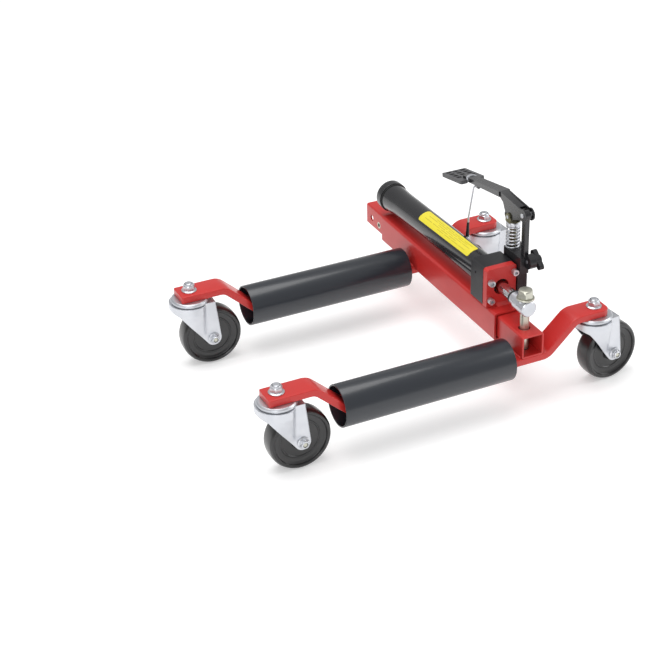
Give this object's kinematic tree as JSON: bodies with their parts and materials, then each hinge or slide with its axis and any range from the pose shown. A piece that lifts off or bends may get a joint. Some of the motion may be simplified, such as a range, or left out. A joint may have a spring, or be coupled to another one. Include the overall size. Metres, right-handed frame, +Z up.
{
  "type": "wheel dolly",
  "caption": "Foot-pumped hydraulic wheel dolly: two roller bars on swivel casters, drawn together along a telescoping square tube to lift a tyre.",
  "frame": {"origin": "middle of the whole object's floor plan, on the floor", "axes": "+Z up; +Y along the main tube, away from the ram eye; rollers reach out towards -X"},
  "size_m": [0.6708, 0.5575, 0.2975],
  "materials": {
    "red_paint": "semi-gloss red powder coat",
    "slate_coat": "satin dark slate powder coat",
    "black_plastic": "moulded black plastic",
    "zinc": "bright zinc plate",
    "wheel_black": "hard black rubber",
    "black_oxide": "black oxide steel",
    "hydraulic_black": "semi-gloss black enamel",
    "bright_steel": "polished steel",
    "brass": "dull brass",
    "seal_rubber": "nitrile rubber"
  },
  "bodies": {
    "root": {"rear_bar": "red_paint", "outer_tube": "red_paint", "mounting_plate": "red_paint", "rear_roller_bushes": "black_plastic", "cap_ring": "black_plastic", "rear_caster_races": "zinc", "rear_kingpin_bolts": "zinc", "rear_kingpin_nuts": "zinc", "return_spring": "zinc", "valve_plug": "zinc", "plate_screws": "zinc", "block_plug": "black_oxide", "pump_block": "hydraulic_black", "reservoir_shell": "hydraulic_black", "reservoir_cap": "hydraulic_black", "fulcrum_post": "hydraulic_black", "ram_gland": "hydraulic_black", "cylinder_liner": "bright_steel", "rear_caster_balls": "bright_steel", "valve_ball": "bright_steel"},
    "slider": {"inner_tube": "red_paint", "front_bar": "red_paint", "cross_pin": "zinc", "ram_rod": "bright_steel", "ram_piston": "bright_steel", "piston_seal": "seal_rubber", "ram_eye": "zinc", "ram_stop_ring": "seal_rubber", "eye_bolt": "zinc", "eye_washer": "zinc", "eye_nut": "zinc", "front_roller_bushes": "black_plastic", "front_caster_races": "zinc", "front_caster_balls": "bright_steel", "front_kingpin_bolts": "zinc", "front_kingpin_nuts": "zinc"},
    "front_roller_body": {"front_roller": "slate_coat"},
    "rear_roller_body": {"rear_roller": "slate_coat"},
    "rear_left_swivel": {"rear_left_fork": "zinc", "rear_left_axle": "zinc"},
    "rear_left_wheel_body": {"rear_left_wheel": "wheel_black"},
    "front_left_swivel": {"front_left_fork": "zinc", "front_left_axle": "zinc"},
    "front_left_wheel_body": {"front_left_wheel": "wheel_black"},
    "front_right_swivel": {"front_right_fork": "zinc", "front_right_axle": "zinc"},
    "front_right_wheel_body": {"front_right_wheel": "wheel_black"},
    "rear_right_swivel": {"rear_right_fork": "zinc", "rear_right_axle": "zinc"},
    "rear_right_wheel_body": {"rear_right_wheel": "wheel_black"},
    "lever": {"foot_lever": "hydraulic_black", "foot_pad": "black_plastic", "lever_pin": "zinc"},
    "plunger": {"pump_plunger": "brass", "spring_seat": "zinc", "plunger_pin": "zinc"},
    "release_valve": {"valve_stem": "zinc", "wing_knob": "hydraulic_black"},
    "hook": {"hold_down_hook": "zinc"}
  },
  "joints": [
    {"name": "frame_slide", "type": "slide", "parent": "root", "child": "slider", "axis": [0, -1, 0], "range_m": [-0.014, 0.16]},
    {"name": "front_roller_spin", "type": "hinge", "parent": "slider", "child": "front_roller_body", "pos_m": [-0.05494, -0.24425, 0.083], "axis": [1, 0, 0], "continuous": true},
    {"name": "rear_roller_spin", "type": "hinge", "parent": "root", "child": "rear_roller_body", "pos_m": [-0.05494, 0.10575, 0.0825], "axis": [1, 0, 0], "continuous": true},
    {"name": "rear_left_caster_swivel", "type": "hinge", "parent": "root", "child": "rear_left_swivel", "pos_m": [-0.30094, 0.10575, 0.12], "axis": [0, 0, 1], "continuous": true},
    {"name": "rear_left_wheel_spin", "type": "hinge", "parent": "rear_left_swivel", "child": "rear_left_wheel_body", "pos_m": [-0.26998, 0.10413, 0.051], "axis": [0.0523, 0.9986, 0], "continuous": true},
    {"name": "front_left_caster_swivel", "type": "hinge", "parent": "slider", "child": "front_left_swivel", "pos_m": [-0.30094, -0.24425, 0.12], "axis": [0, 0, 1], "continuous": true},
    {"name": "front_left_wheel_spin", "type": "hinge", "parent": "front_left_swivel", "child": "front_left_wheel_body", "pos_m": [-0.26994, -0.24425, 0.051], "axis": [0, 1, 0], "continuous": true},
    {"name": "front_right_caster_swivel", "type": "hinge", "parent": "slider", "child": "front_right_swivel", "pos_m": [0.25306, -0.24425, 0.12], "axis": [0, 0, 1], "continuous": true},
    {"name": "front_right_wheel_spin", "type": "hinge", "parent": "front_right_swivel", "child": "front_right_wheel_body", "pos_m": [0.28394, -0.24155, 0.051], "axis": [-0.0872, 0.9962, 0], "continuous": true},
    {"name": "rear_right_caster_swivel", "type": "hinge", "parent": "root", "child": "rear_right_swivel", "pos_m": [0.25306, 0.10575, 0.12], "axis": [0, 0, 1], "continuous": true},
    {"name": "rear_right_wheel_spin", "type": "hinge", "parent": "rear_right_swivel", "child": "rear_right_wheel_body", "pos_m": [0.28404, 0.10683, 0.051], "axis": [-0.0349, 0.9994, 0], "continuous": true},
    {"name": "pedal_hinge", "type": "hinge", "parent": "root", "child": "lever", "pos_m": [0.16956, -0.16725, 0.2847], "axis": [-1, 0, 0], "range_deg": [0, 17], "stiffness_Nm_per_rad": 2, "springref_deg": -20.05},
    {"name": "plunger_slide", "type": "slide", "parent": "root", "child": "plunger", "axis": [0, 0, -1], "range_m": [0, 0.0131], "deforming": ["return_spring"]},
    {"name": "release_turn", "type": "hinge", "parent": "root", "child": "release_valve", "pos_m": [0.17606, -0.17625, 0.2055], "axis": [1, 0, 0], "range_deg": [-270, 0]},
    {"name": "hook_swing", "type": "hinge", "parent": "lever", "child": "hook", "pos_m": [0.16956, -0.01325, 0.2705], "axis": [1, 0, 0], "range_deg": [-25, 40]}
  ],
  "couplings": [
    {"joint": "plunger_slide", "follows": "pedal_hinge", "m_per_rad": 0.04415}
  ]
}
